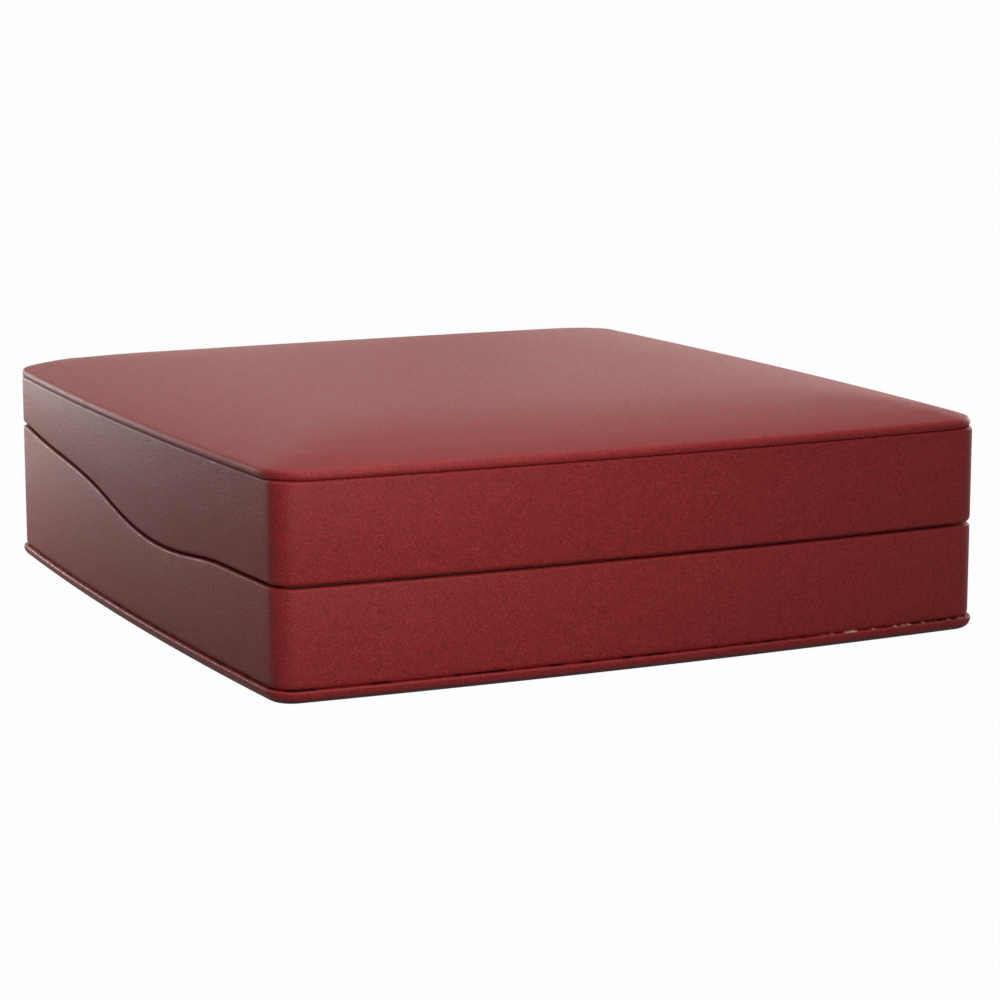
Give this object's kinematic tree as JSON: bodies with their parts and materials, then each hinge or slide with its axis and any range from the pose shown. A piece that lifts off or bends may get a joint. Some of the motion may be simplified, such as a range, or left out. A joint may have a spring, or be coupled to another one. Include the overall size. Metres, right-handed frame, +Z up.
{
  "type": "necklace box",
  "caption": "Square leather-covered necklace box with bowed sides, a wavy parting line, a padded hinged lid and a lift-out velvet pad.",
  "frame": {"origin": "middle of the underside, on the surface that the box stands on", "axes": "+Z up, the front faces -Y, the hinges are at +Y, and +X is to the right of someone facing the front"},
  "size_m": [0.1816, 0.192, 0.0552],
  "materials": {
    "burgundy_leather": "fine-grained burgundy leatherette with a soft pearly sheen",
    "moulded_plastic": "black moulded polystyrene, matt",
    "card": "grey board",
    "ivory_velvet": "short ivory velvet",
    "ivory_satin": "ivory satin with a soft sheen",
    "foam": "open-cell foam",
    "ribbon": "woven ribbon",
    "hinge_steel": "nickel-plated steel"
  },
  "bodies": {
    "base": {"base_tray": "moulded_plastic", "base_wrap": "burgundy_leather", "bottom_board": "card", "bottom_cover": "burgundy_leather", "floor_lining": "card", "collar_card": "card", "collar_velvet": "ivory_velvet", "pad_blocks": "foam", "hinge_left_base_leaf": "hinge_steel", "hinge_right_base_leaf": "hinge_steel", "hinge_left_pin": "hinge_steel", "hinge_right_pin": "hinge_steel", "base_rivets": "hinge_steel"},
    "lid": {"lid_frame": "moulded_plastic", "lid_wrap": "burgundy_leather", "top_board": "card", "top_foam": "foam", "top_cover": "burgundy_leather", "lid_lining": "ivory_velvet", "lid_pad_board": "card", "lid_pad_foam": "foam", "lid_pad_satin": "ivory_satin", "hinge_left_lid_leaf": "hinge_steel", "hinge_right_lid_leaf": "hinge_steel", "hinge_left_spring": "hinge_steel", "hinge_right_spring": "hinge_steel", "lid_rivets": "hinge_steel"},
    "necklace_pad": {"pad_board": "card", "pad_foam": "foam", "pad_cover": "ivory_velvet", "pull_tab": "ribbon"}
  },
  "joints": [
    {"name": "lid_hinge", "type": "hinge", "parent": "base", "child": "lid", "pos_m": [0, 0.095, 0.0346], "axis": [-1, 0, 0], "range_deg": [0, 100], "deforming": ["hinge_left_spring", "hinge_right_spring"]},
    {"name": "pad_lift", "type": "slide", "parent": "base", "child": "necklace_pad", "axis": [0, 0, 1], "range_m": [0, 0.016]}
  ]
}
